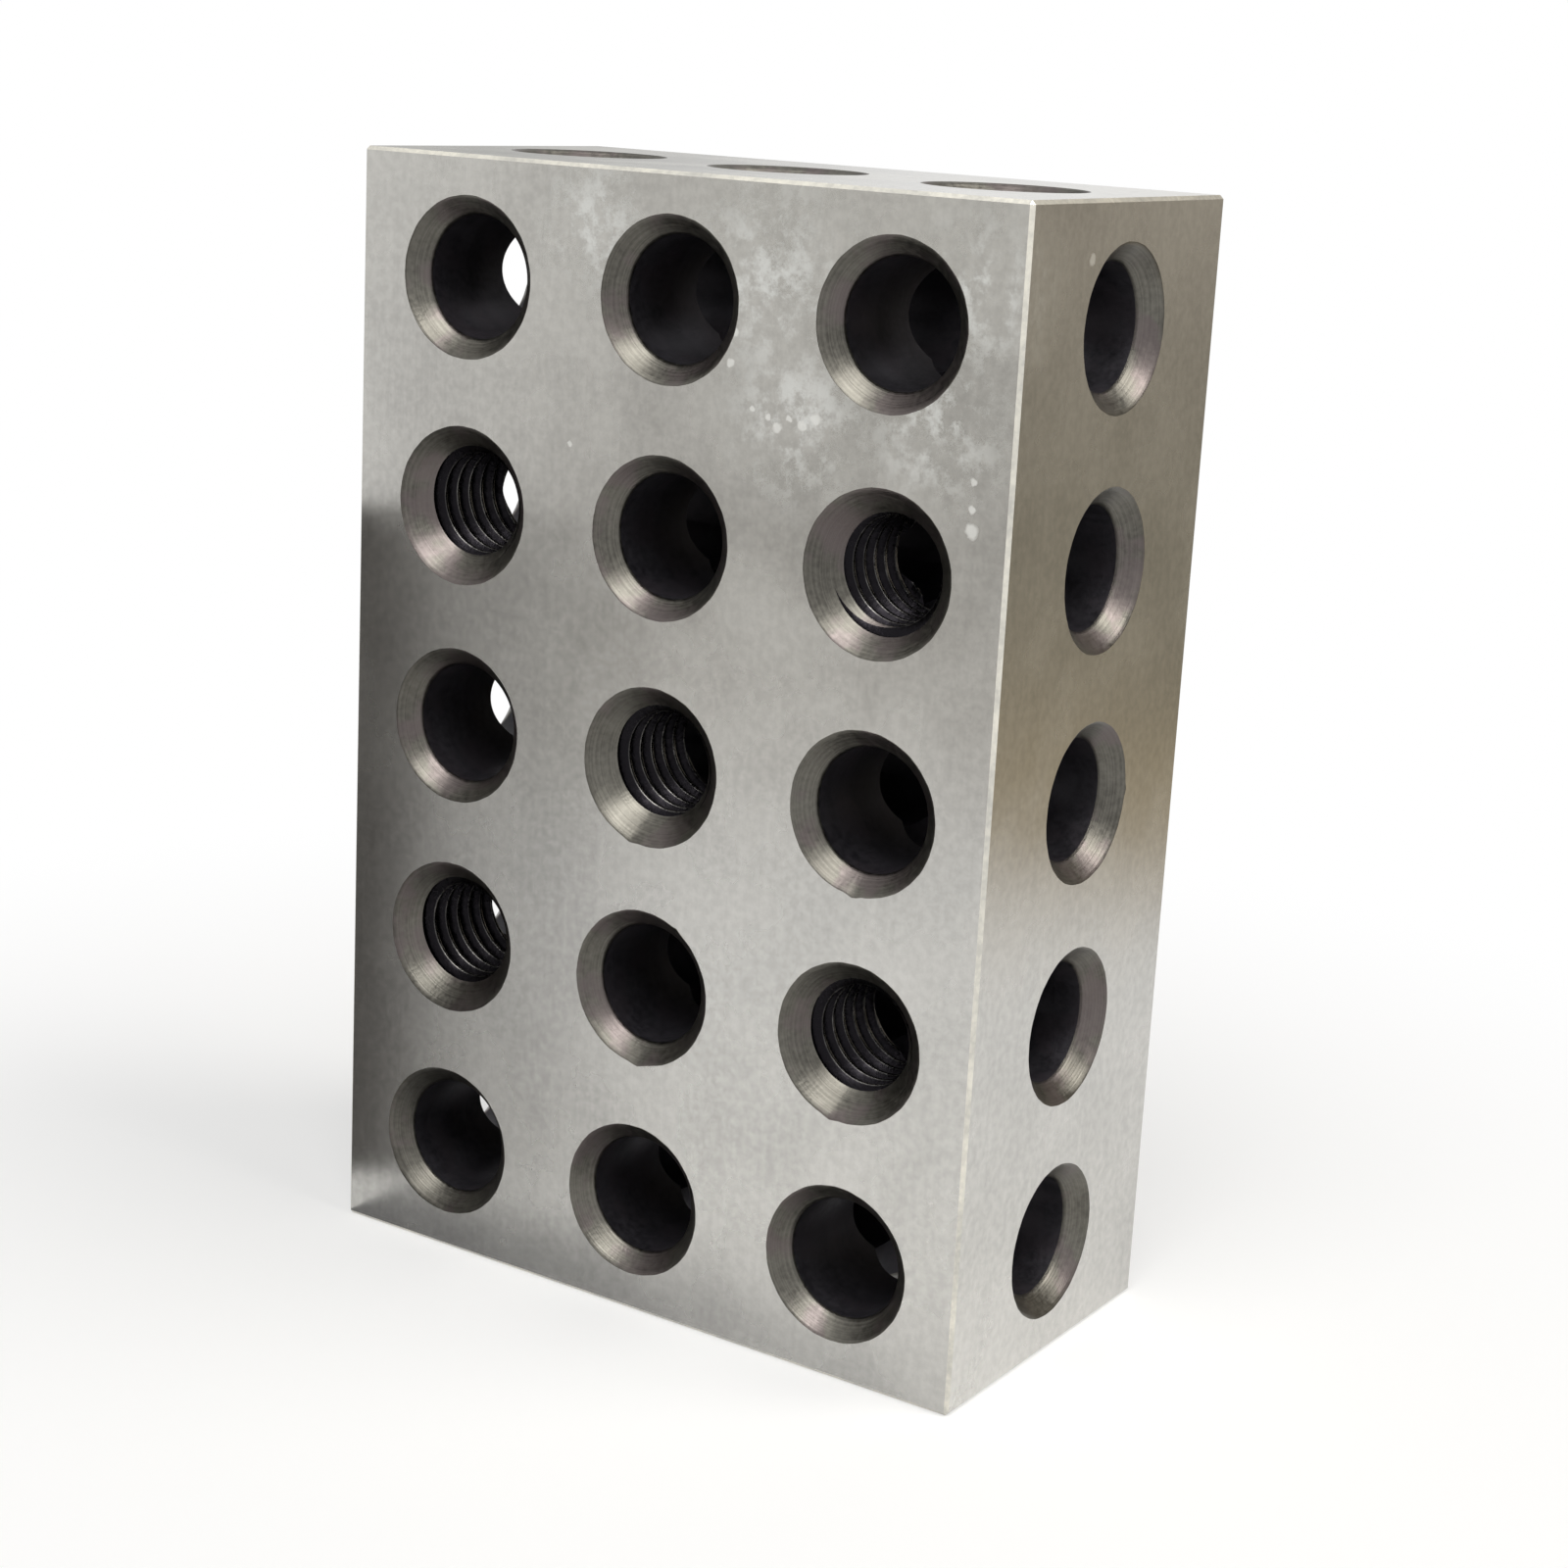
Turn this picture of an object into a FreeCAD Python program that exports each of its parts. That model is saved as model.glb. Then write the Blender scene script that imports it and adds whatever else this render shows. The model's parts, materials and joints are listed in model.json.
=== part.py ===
"""Machinist setup block: a 1 x 2 x 3 inch ground steel block with 23 countersunk through holes.

Frame: +Z is up, along the 3 inch length. X runs across the 2 inch width, and Y through the 1 inch
thickness. The origin is at the middle of the 1 x 2 inch end that the block stands on. All sizes
are in millimetres.
"""

import FreeCAD, Part
import os
import Sketcher

# The outside is whole inches. The holes lie on a grid of 3 columns and 5 rows. Those in the sides
# and the ends run on the middle plane of the thickness, so three bores cross at each grid point.
SIZES = {
    "width": 50.8,
    "thickness": 25.4,
    "length": 76.2,
    "edge_break": 0.25,
    "column_pitch": 16.35,
    "row_pitch": 15.08,
    "plain_bore": 8.1,
    "countersink": 10.6,
    "countersink_angle": 90.0,
}
THREAD = "M8x1.25"
COLUMNS = (-1, 0, 1)
ROWS = (-2, -1, 0, 1, 2)


def is_tapped(column, row):
    """Tell whether a hole of the front is tapped: the middle one and its four diagonal neighbours."""
    return abs(column) == abs(row)


def across(column):
    """Return the expression for a column's distance from the block's middle."""
    return f"{column} * sizes.column_pitch"


def above(row):
    """Return the expression for a row's height over the end that the block stands on."""
    return f"sizes.length / 2 + {row} * sizes.row_pitch"


def make_sheet(doc):
    """Put the driving dimensions in a spreadsheet, each in a cell with an alias."""
    sheet = doc.addObject("Spreadsheet::Sheet", "sizes")
    for line, (alias, value) in enumerate(SIZES.items(), start=1):
        sheet.set(f"A{line}", alias)
        sheet.set(f"B{line}", str(value))
        sheet.setAlias(f"B{line}", alias)
    doc.recompute()


def origin_plane(body, role):
    """Return one of the body's own origin planes."""
    return next(plane for plane in body.Origin.OriginFeatures if plane.Role == role)


def attach(body, kind, name, role, offset):
    """Add a sketch or a plane on an origin plane, moved along its normal by an expression."""
    item = body.newObject(kind, name)
    item.AttachmentSupport = (origin_plane(body, role), [""])
    item.MapMode = "FlatFace"
    item.setExpression("AttachmentOffset.Base.z", offset)
    return item


def drive(sketch, name, expression, kind, *where):
    """Add a dimension to a sketch and bind it to an expression of the sheet."""
    value = float(sketch.evalExpression(expression))
    index = sketch.addConstraint(Sketcher.Constraint(kind, *where, value))
    sketch.renameConstraint(index, name)
    sketch.setExpression(f"Constraints.{name}", expression)


def pad_block(body):
    """Pad the 1 x 2 inch end to the full length and break all twelve edges."""
    sketch = attach(body, "Sketcher::SketchObject", "end_outline", "XY_Plane", "0 mm")
    right = SIZES["width"] / 2
    back = SIZES["thickness"] / 2
    corners = [
        FreeCAD.Vector(-right, -back, 0),
        FreeCAD.Vector(right, -back, 0),
        FreeCAD.Vector(right, back, 0),
        FreeCAD.Vector(-right, back, 0),
    ]
    for side in range(4):
        sketch.addGeometry(Part.LineSegment(corners[side], corners[(side + 1) % 4]))
    for side in range(4):
        sketch.addConstraint(Sketcher.Constraint("Coincident", side, 2, (side + 1) % 4, 1))
    for side in (0, 2):
        sketch.addConstraint(Sketcher.Constraint("Horizontal", side))
        sketch.addConstraint(Sketcher.Constraint("Vertical", side + 1))
    sketch.addConstraint(Sketcher.Constraint("Symmetric", 0, 1, 1, 2, -1, 1))
    drive(sketch, "width", "sizes.width", "DistanceX", 0, 1, 0, 2)
    drive(sketch, "thickness", "sizes.thickness", "DistanceY", 1, 1, 1, 2)

    pad = body.newObject("PartDesign::Pad", "bar")
    pad.Profile = sketch
    pad.setExpression("Length", "sizes.length")
    body.Document.recompute()

    broken = body.newObject("PartDesign::Chamfer", "broken_edges")
    broken.Base = (pad, [""])
    broken.UseAllEdges = True
    broken.setExpression("Size", "sizes.edge_break")
    body.Document.recompute()


def mark_holes(body, name, role, offset, spots):
    """Draw the countersunk mouth of each hole as a circle on one face of the block.

    spots holds one pair of expressions for each hole: its two places in the sketch.
    """
    sketch = attach(body, "Sketcher::SketchObject", name, role, offset)
    for number, spot in enumerate(spots):
        centre = FreeCAD.Vector(*(float(sketch.evalExpression(place)) for place in spot))
        mouth = Part.Circle(centre, FreeCAD.Vector(0, 0, 1), SIZES["countersink"] / 2)
        circle = sketch.addGeometry(mouth)
        drive(sketch, f"place_x_{number}", spot[0], "DistanceX", -1, 1, circle, 3)
        drive(sketch, f"place_y_{number}", spot[1], "DistanceY", -1, 1, circle, 3)
        if number == 0:
            drive(sketch, "mouth", "sizes.countersink", "Diameter", circle)
        else:
            sketch.addConstraint(Sketcher.Constraint("Equal", 0, circle))
    body.Document.recompute()
    return sketch


def drill(body, name, sketch, mirror_plane, tapped=False):
    """Drill the marked holes right through, then mirror them so that both mouths are countersunk."""
    hole = body.newObject("PartDesign::Hole", name)
    hole.Profile = sketch
    body.Document.recompute()
    hole.DepthType = "ThroughAll"
    if tapped:
        hole.ThreadType = "ISOMetricProfile"
        hole.ThreadSize = THREAD
        hole.Threaded = True
    else:
        hole.setExpression("Diameter", "sizes.plain_bore")
    hole.HoleCutType = "Countersink"
    hole.setExpression("HoleCutDiameter", "sizes.countersink")
    hole.setExpression("HoleCutCountersinkAngle", "sizes.countersink_angle")
    body.Document.recompute()

    mirrored = body.newObject("PartDesign::Mirrored", f"{name}_far_mouths")
    mirrored.Originals = [hole]
    mirrored.MirrorPlane = (mirror_plane, [""])
    body.Tip = mirrored
    body.Document.recompute()


def make_block(doc):
    """Model the block: the bar, then the holes through its thickness, width and length."""
    body = doc.addObject("PartDesign::Body", "block")
    body.Label = "block"
    pad_block(body)
    grid = [(column, row) for column in COLUMNS for row in ROWS]
    front = {
        tapped: [(across(column), above(row)) for column, row in grid if is_tapped(column, row) == tapped]
        for tapped in (False, True)
    }
    side = [("0 mm", above(row)) for row in ROWS]
    end = [(across(column), "0 mm") for column in COLUMNS]

    middle_of_thickness = origin_plane(body, "XZ_Plane")
    middle_of_width = origin_plane(body, "YZ_Plane")
    middle_of_length = attach(body, "PartDesign::Plane", "middle_of_length", "XY_Plane", "sizes.length / 2")

    half_thickness = "sizes.thickness / 2"
    sketch = mark_holes(body, "plain_marks", "XZ_Plane", half_thickness, front[False])
    drill(body, "plain_holes", sketch, middle_of_thickness)
    sketch = mark_holes(body, "tapped_marks", "XZ_Plane", half_thickness, front[True])
    drill(body, "tapped_holes", sketch, middle_of_thickness, tapped=True)
    sketch = mark_holes(body, "side_marks", "YZ_Plane", "sizes.width / 2", side)
    drill(body, "side_holes", sketch, middle_of_width)
    sketch = mark_holes(body, "end_marks", "XY_Plane", "sizes.length", end)
    drill(body, "end_holes", sketch, middle_of_length)
    return body


def check(doc, body):
    """Stop if a feature failed, or if one that should take metal away took none."""
    for item in doc.Objects:
        if {"Invalid", "Error"} & set(item.State):
            raise RuntimeError(f"{item.Name} failed: {item.State}")
    solids = [item for item in body.Group if item.isDerivedFrom("PartDesign::Feature")]
    volumes = [item.Shape.Volume for item in solids if not item.isDerivedFrom("PartDesign::Plane")]
    if any(after >= before for before, after in zip(volumes, volumes[1:])):
        raise RuntimeError(f"a cut took nothing away: {volumes}")
    shape = body.Shape
    if shape.isNull() or not shape.isValid() or len(shape.Solids) != 1:
        raise RuntimeError("the block isn't one valid solid")


def main():
    """Model the block, check it and write it as a STEP file."""
    doc = FreeCAD.newDocument("setup_block")
    make_sheet(doc)
    body = make_block(doc)
    check(doc, body)
    os.makedirs("parts", exist_ok=True)
    body.Shape.exportStep(f"parts/{body.Label}.step")
    print(f"{body.Label}: {body.Shape.Volume:.1f} mm3, {len(body.Shape.Faces)} faces")


main()
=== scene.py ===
"""Finish, floor, light and camera for a machinist's ground setup block.

The block is one bar of hardened steel, ground on all six sides, with three sets
of through holes that cross inside it. Every hole is countersunk at both ends,
and five of those on the wide face are tapped. All sizes are in metres and come
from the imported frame, apart from the fine cuts that only this script makes.
"""

import json
import logging
import math
import random
from dataclasses import dataclass, field
from enum import Enum, IntEnum

import bmesh
import bpy
from mathutils import Matrix, Vector


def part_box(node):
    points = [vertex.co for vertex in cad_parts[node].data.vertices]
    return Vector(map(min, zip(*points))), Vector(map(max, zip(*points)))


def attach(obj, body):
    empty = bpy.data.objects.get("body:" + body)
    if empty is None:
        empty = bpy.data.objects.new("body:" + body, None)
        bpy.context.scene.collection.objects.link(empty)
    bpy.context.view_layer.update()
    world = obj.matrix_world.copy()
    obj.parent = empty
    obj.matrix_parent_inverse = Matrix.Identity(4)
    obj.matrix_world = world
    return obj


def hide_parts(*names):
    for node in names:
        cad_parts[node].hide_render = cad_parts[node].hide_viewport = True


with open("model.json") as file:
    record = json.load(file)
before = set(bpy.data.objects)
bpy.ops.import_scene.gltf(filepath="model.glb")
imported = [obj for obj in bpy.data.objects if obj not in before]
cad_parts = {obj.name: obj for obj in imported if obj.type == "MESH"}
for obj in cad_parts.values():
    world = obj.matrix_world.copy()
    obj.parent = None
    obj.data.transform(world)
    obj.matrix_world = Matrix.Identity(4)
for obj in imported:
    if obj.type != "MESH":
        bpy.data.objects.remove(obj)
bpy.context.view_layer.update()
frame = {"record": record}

MM = 0.001
log = logging.getLogger("setup_block")

Colour = tuple[float, float, float]
Mark = tuple[float, float, float]
Value = float | tuple | bpy.types.NodeSocket


class Finish(IntEnum):
    """Which of the block's materials a face takes."""

    GROUND = 0
    EDGE = 1
    TURNED = 2
    BORE = 3
    THREAD = 4


class HoleKind(Enum):
    """How a hole was made."""

    PLAIN = "bore"
    TAPPED = "threaded_hole"


# ---------------------------------------------------------------------------
# Shader nodes
# ---------------------------------------------------------------------------


@dataclass
class Graph:
    """Adds and joins nodes in one shader tree."""

    tree: bpy.types.NodeTree

    def add(
        self, kind: str, values: dict[str | int, Value] | None = None, **settings: object
    ) -> bpy.types.Node:
        """Makes a node, sets its properties and fills its inputs.

        Args:
            kind: The node's Blender type.
            values: What goes into each input: a number, a colour or a socket to join.
            **settings: Properties of the node itself.

        Returns:
            The new node.
        """
        node = self.tree.nodes.new(kind)
        for name, setting in settings.items():
            setattr(node, name, setting)
        for name, value in (values or {}).items():
            self.fill(node.inputs[name], value)
        return node

    def fill(self, socket: bpy.types.NodeSocket, value: Value) -> None:
        """Joins a socket to an input, or writes a plain value in it.

        Args:
            socket: The input.
            value: What goes into it.
        """
        if isinstance(value, bpy.types.NodeSocket):
            self.tree.links.new(value, socket)
        else:
            socket.default_value = value

    def math(self, operation: str, *values: Value) -> bpy.types.NodeSocket:
        """Adds a Math node and returns its result."""
        return self.add("ShaderNodeMath", dict(enumerate(values)), operation=operation).outputs[0]

    def vector(self, operation: str, *values: Value) -> bpy.types.NodeSocket:
        """Adds a Vector Math node and returns its vector."""
        return self.add("ShaderNodeVectorMath", dict(enumerate(values)), operation=operation).outputs[0]

    def number(self, operation: str, *values: Value) -> bpy.types.NodeSocket:
        """Adds a Vector Math node that works out a number and returns it."""
        node = self.add("ShaderNodeVectorMath", dict(enumerate(values)), operation=operation)
        return node.outputs["Value"]

    def joined(self, *values: Value) -> bpy.types.NodeSocket:
        """Makes a vector of up to three numbers."""
        return self.add("ShaderNodeCombineXYZ", dict(enumerate(values))).outputs[0]

    def parts(self, vector: Value) -> bpy.types.NodeOutputs:
        """Takes a vector's three numbers apart."""
        return self.add("ShaderNodeSeparateXYZ", {0: vector}).outputs

    def place(self) -> bpy.types.NodeSocket:
        """Gives the point on the surface in the object's own frame."""
        return self.add("ShaderNodeTexCoord").outputs["Object"]

    def share(self, start: Vector, run: Vector) -> bpy.types.NodeSocket:
        """Says how far along a run the point on the surface is.

        Args:
            start: Where the run begins.
            run: From its start to its end.

        Returns:
            0 at the start, 1 at the end.
        """
        offset = self.vector("SUBTRACT", self.place(), tuple(start))
        return self.number("DOT_PRODUCT", offset, tuple(run / run.length_squared))

    def ramp(
        self, value: Value, low: Value, high: Value, start: float = 0.0, end: float = 1.0
    ) -> bpy.types.NodeSocket:
        """Maps low..high smoothly to start..end.

        Args:
            value: The number to map.
            low: Where the change begins.
            high: Where the change ends.
            start: The result at low.
            end: The result at high.

        Returns:
            The mapped number.
        """
        numbers = {"Value": value, "From Min": low, "From Max": high, "To Min": start, "To Max": end}
        return self.add("ShaderNodeMapRange", numbers, interpolation_type="SMOOTHSTEP").outputs[0]

    def blend(self, amount: Value, first: Value, second: Value) -> bpy.types.NodeSocket:
        """Mixes two colours.

        Args:
            amount: 0 for the first colour, 1 for the second.
            first: A colour or a socket.
            second: A colour or a socket.

        Returns:
            The mixed colour.
        """
        node = self.add("ShaderNodeMix", data_type="RGBA")
        for index, value in ((0, amount), (6, first), (7, second)):
            self.fill(node.inputs[index], self.opaque(value) if index else value)
        return node.outputs[2]

    def weigh(self, *weighted: tuple[Value, float]) -> bpy.types.NodeSocket:
        """Adds up numbers, each by its own weight.

        Args:
            *weighted: Each number with its weight.

        Returns:
            The sum.
        """
        (first, weight), *others = weighted
        total = self.math("MULTIPLY", first, weight)
        for value, weight in others:
            total = self.math("MULTIPLY_ADD", value, weight, total)
        return total

    def noise(
        self, place: Value, scale: Value, detail: float = 2.0, roughness: float = 0.5
    ) -> bpy.types.NodeSocket:
        """Adds 3-D noise at a place.

        Args:
            place: Where the noise is read.
            scale: How many of its cells there are in a metre.
            detail: How many finer layers it has.
            roughness: How strong they are.

        Returns:
            The noise, about 0.25 to 0.75.
        """
        numbers = {"Vector": place, "Scale": scale, "Detail": detail, "Roughness": roughness}
        return self.add("ShaderNodeTexNoise", numbers).outputs[0]

    def bump(self, strength: float, depth: float, height: Value) -> bpy.types.NodeSocket:
        """Turns a height into a normal and returns it."""
        numbers = {"Strength": strength, "Distance": depth, "Height": height}
        return self.add("ShaderNodeBump", numbers).outputs[0]

    @staticmethod
    def opaque(value: Value) -> Value:
        """Gives a plain colour its fourth number."""
        return (*value, 1.0) if isinstance(value, tuple) and len(value) == 3 else value


@dataclass
class Effect:
    """A shader node group that several materials share, built once."""

    name: str
    inputs: dict[str, tuple[str, object]]
    outputs: dict[str, str]
    graph: Graph = field(init=False)
    given: bpy.types.NodeOutputs = field(init=False)
    result: bpy.types.NodeInputs = field(init=False)

    def __post_init__(self) -> None:
        """Makes the group's tree with its named sockets."""
        tree = bpy.data.node_groups.new(self.name, "ShaderNodeTree")
        for name, (kind, default) in self.inputs.items():
            socket = tree.interface.new_socket(name, in_out="INPUT", socket_type=f"NodeSocket{kind}")
            socket.default_value = default
        for name, kind in self.outputs.items():
            tree.interface.new_socket(name, in_out="OUTPUT", socket_type=f"NodeSocket{kind}")
        self.graph = Graph(tree)
        self.given = self.graph.add("NodeGroupInput").outputs
        self.result = self.graph.add("NodeGroupOutput").inputs

    def put(self, name: str, value: Value) -> None:
        """Sends a value to one of the group's outputs."""
        self.graph.fill(self.result[name], value)

    def lay(self, graph: Graph, values: dict[str | int, Value]) -> bpy.types.NodeOutputs:
        """Places the group in a material with its own values.

        Args:
            graph: The material's graph.
            values: What goes into each of the group's inputs.

        Returns:
            The group's outputs there.
        """
        return graph.add("ShaderNodeGroup", values, node_tree=self.graph.tree).outputs


def patch_effect() -> Effect:
    """Builds a soft round patch about a point.

    Returns:
        A group whose Mask is 1 at the centre and 0 outside the patch.
    """
    effect = Effect(
        "Round patch",
        {"Place": ("Vector", (0, 0, 0)), "Centre": ("Vector", (0, 0, 0)),
         "Inner": ("Float", 0.001), "Outer": ("Float", 0.002)},
        {"Mask": "Float"},
    )
    graph, given = effect.graph, effect.given
    away = graph.number("DISTANCE", given["Place"], given["Centre"])
    effect.put("Mask", graph.ramp(away, given["Inner"], given["Outer"], 1.0, 0.0))
    return effect


def mottle_effect() -> Effect:
    """Builds the cloudy grain of steel that was ground, handled and wiped.

    Returns:
        A group with Grain, which is fine, and Cloud, which is broad, both 0 to 1.
    """
    effect = Effect(
        "Steel mottle",
        {"Place": ("Vector", (0, 0, 0)), "Grain Scale": ("Float", 1500.0),
         "Cloud Scale": ("Float", 120.0)},
        {"Grain": "Float", "Cloud": "Float"},
    )
    graph, given = effect.graph, effect.given
    grain = graph.noise(given["Place"], given["Grain Scale"], 3.0, 0.6)
    cloud = graph.noise(given["Place"], given["Cloud Scale"], 4.0, 0.55)
    effect.put("Grain", graph.ramp(grain, 0.3, 0.7))
    effect.put("Cloud", graph.ramp(cloud, 0.3, 0.7))
    return effect


def rings_effect() -> Effect:
    """Builds the marks that a turning cutter leaves on a round wall.

    The Mark input holds the share of a turn, the depth along the wall in
    millimetres and a number that differs from hole to hole.

    Returns:
        A group with Rings, which run all round, Chatter, which crosses them in
        places, and Sector, a broad change round the wall, all 0 to 1.
    """
    effect = Effect(
        "Turning marks",
        {"Mark": ("Vector", (0, 0, 0)), "Rings Per Millimetre": ("Float", 5.0),
         "Chatter Marks": ("Float", 40.0)},
        {"Rings": "Float", "Chatter": "Float", "Sector": "Float"},
    )
    graph, given = effect.graph, effect.given
    turn, deep, number = graph.parts(given["Mark"])
    angle = graph.math("MULTIPLY", turn, math.tau)
    around = graph.joined(graph.math("COSINE", angle), graph.math("SINE", angle), deep)
    own = graph.math("MULTIPLY", number, 53.0)
    moved = graph.vector("ADD", around, graph.joined(own, own))
    depth = graph.math("MULTIPLY", deep, given["Rings Per Millimetre"])
    drift = graph.math("MULTIPLY_ADD", graph.noise(moved, 1.4, 1.0), 0.8, graph.math("ADD", depth, own))
    line = graph.add("ShaderNodeTexNoise", {"W": drift, "Scale": 1.0, "Detail": 2.0, "Roughness": 0.6},
                     noise_dimensions="1D").outputs[0]
    effect.put("Rings", graph.ramp(line, 0.34, 0.66))
    across = graph.vector("MULTIPLY", moved, (1.0, 1.0, 0.3))
    skew = graph.math("MULTIPLY_ADD", turn, given["Chatter Marks"], graph.noise(moved, 4.0, 2.0))
    beat = graph.math("SINE", graph.math("MULTIPLY", skew, math.tau))
    where = graph.ramp(graph.noise(across, 1.7, 2.0), 0.48, 0.66)
    effect.put("Chatter", graph.math("MULTIPLY", graph.ramp(beat, -0.8, 1.0), where))
    effect.put("Sector", graph.ramp(graph.noise(across, 1.1, 3.0, 0.6), 0.34, 0.66))
    return effect


# ---------------------------------------------------------------------------
# Finishes
# ---------------------------------------------------------------------------


def blank_material(name: str) -> tuple[bpy.types.Material, Graph]:
    """Starts a material with an empty tree.

    Args:
        name: The material's name.

    Returns:
        The material and its graph.
    """
    material = bpy.data.materials.new(name)
    material.use_nodes = True
    material.node_tree.nodes.clear()
    return material, Graph(material.node_tree)


@dataclass(frozen=True)
class Spot:
    """One round patch of dried coolant on a face, placed in the block's frame."""

    x: float
    y: float
    z: float
    radius: float

    @property
    def centre(self) -> Colour:
        """Where the patch's middle is."""
        return (self.x, self.y, self.z)


@dataclass(frozen=True)
class Steel:
    """What every finish of the block shares."""

    effects: dict[str, Effect]

    def start(self, name: str, metallic: float) -> tuple[bpy.types.Material, Graph, bpy.types.Node]:
        """Starts a material with only a Principled shader on its output.

        Args:
            name: The material's name.
            metallic: The plain value on the shader's Metallic socket.

        Returns:
            The material, its graph and its Principled node.
        """
        material, graph = blank_material(name)
        shader = graph.add("ShaderNodeBsdfPrincipled", {"Metallic": metallic})
        graph.add("ShaderNodeOutputMaterial", {"Surface": shader.outputs[0]})
        return material, graph, shader

    def mottle(self, graph: Graph, grain_scale: float, cloud_scale: float) -> list[bpy.types.NodeSocket]:
        """Lays the shared grain and clouds on the surface.

        Args:
            graph: The material's graph.
            grain_scale: How fine the grain is.
            cloud_scale: How fine the clouds are.

        Returns:
            The grain and the clouds, each 0 to 1.
        """
        values = {"Place": graph.place(), "Grain Scale": grain_scale, "Cloud Scale": cloud_scale}
        laid = self.effects["mottle"].lay(graph, values)
        return [laid["Grain"], laid["Cloud"]]

    def dress(
        self, graph: Graph, shader: bpy.types.Node, colour: Value, rough: Value, normal: Value
    ) -> None:
        """Joins the finish to its shader.

        Args:
            graph: The material's graph.
            shader: Its Principled node.
            colour: The base colour.
            rough: The roughness.
            normal: The normal with the finish's relief.
        """
        for name, value in (("Base Color", colour), ("Roughness", rough), ("Normal", normal)):
            graph.fill(shader.inputs[name], value)


@dataclass(frozen=True)
class GroundSteel(Steel):
    """Surface-ground steel with grinding lines, grain, clouds, a pale stain and flecks.

    Attributes:
        flecks: Where drops of coolant dried.
        stains: Where a pale film lies.
        colour: The steel's lightest tone.
        dark: Its darkest tone.
        bloom: The film's colour.
        fleck: The drops' colour.
        film: How strong the film is.
        drop: How strong the drops are.
        depth: How deep the grinding lines look.
    """

    flecks: tuple[Spot, ...]
    stains: tuple[Spot, ...]
    colour: Colour = (0.66, 0.65, 0.62)
    dark: Colour = (0.48, 0.472, 0.45)
    bloom: Colour = (0.80, 0.81, 0.79)
    fleck: Colour = (0.86, 0.86, 0.83)
    film: float = 0.85
    drop: float = 0.7
    roughness: float = 0.26
    depth: float = 0.000006

    def build(self) -> bpy.types.Material:
        """Makes the material.

        Returns:
            The finished material.
        """
        material, graph, shader = self.start("ground steel", 1.0)
        place = graph.place()
        grain, cloud = self.mottle(graph, grain_scale=1500.0, cloud_scale=110.0)
        lines = self.grinding(graph, place)
        tone = graph.weigh((grain, 0.40), (cloud, 0.45), (lines, 0.15))
        base = graph.blend(tone, self.dark, self.colour)
        stain = self.stain(graph, place)
        base = graph.blend(stain, base, self.bloom)
        specks = self.specks(graph, place)
        base = graph.blend(graph.math("MULTIPLY", specks, self.drop), base, self.fleck)
        rough = graph.math("MULTIPLY_ADD", cloud, 0.08, self.roughness - 0.04)
        rough = graph.math("MULTIPLY_ADD", graph.math("MAXIMUM", stain, specks), 0.2, rough)
        relief = graph.weigh((grain, 0.4), (lines, 0.6))
        self.dress(graph, shader, base, rough, graph.bump(0.35, self.depth, relief))
        return material

    def grinding(self, graph: Graph, place: Value) -> bpy.types.NodeSocket:
        """Draws the fine lines that the grinding wheel left along the block's length."""
        stretched = graph.vector("MULTIPLY", place, (1.0, 1.0, 0.06))
        return graph.ramp(graph.noise(stretched, 2100.0, 5.0, 0.75), 0.3, 0.7)

    def stain(self, graph: Graph, place: Value) -> bpy.types.NodeSocket:
        """Spreads a cloudy pale film inside each stained patch."""
        film = graph.ramp(graph.noise(place, 520.0, 9.0, 0.78), 0.45, 0.62, 0.0, self.film)
        return graph.math("MULTIPLY", self.together(graph, place, self.stains, 0.0), film)

    def specks(self, graph: Graph, place: Value) -> bpy.types.NodeSocket:
        """Puts each fleck where it lies, with an uneven outline.

        Args:
            graph: The material's graph.
            place: The point on the surface.

        Returns:
            A mask from 0 to 1.
        """
        uneven = graph.add("ShaderNodeTexNoise", {"Vector": place, "Scale": 1800.0}).outputs["Color"]
        shift = graph.vector("MULTIPLY_ADD", uneven, (0.0005,) * 3, (-0.00025,) * 3)
        return self.together(graph, graph.vector("ADD", place, shift), self.flecks, 0.6)

    def together(
        self, graph: Graph, place: Value, spots: tuple[Spot, ...], core: float
    ) -> bpy.types.NodeSocket:
        """Joins round patches into one mask.

        Args:
            graph: The material's graph.
            place: The point on the surface.
            spots: Where the patches are.
            core: The share of each radius that is full strength.

        Returns:
            A mask from 0 to 1.
        """
        mask: Value = 0.0
        for spot in spots:
            values = {"Place": place, "Centre": spot.centre, "Inner": spot.radius * core,
                      "Outer": spot.radius}
            mask = graph.math("MAXIMUM", mask, self.effects["patch"].lay(graph, values)["Mask"])
        return mask


@dataclass(frozen=True)
class EdgeSteel(Steel):
    """The narrow stoned bevel along the block's edges; its colour, lighter and warmer than the faces', is a
    painted highlight.
    """

    # The lighter, warmer colour is the bevel's painted highlight; the other is its darker tone.
    painted_highlight: Colour = (0.80, 0.77, 0.68)
    worn: Colour = (0.52, 0.51, 0.47)
    roughness: float = 0.38
    depth: float = 0.00002

    def build(self) -> bpy.types.Material:
        """Makes the material.

        Returns:
            The finished material.
        """
        material, graph, shader = self.start("stoned edge with painted highlight", 1.0)
        grain, cloud = self.mottle(graph, grain_scale=2200.0, cloud_scale=260.0)
        # Painted highlight: the clouds and grain mix the darker tone with the painted highlight colour in
        # patches.
        base = graph.blend(graph.weigh((cloud, 0.55), (grain, 0.45)), self.worn, self.painted_highlight)
        self.dress(graph, shader, base, self.roughness, graph.bump(0.5, self.depth, grain))
        return material


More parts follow.
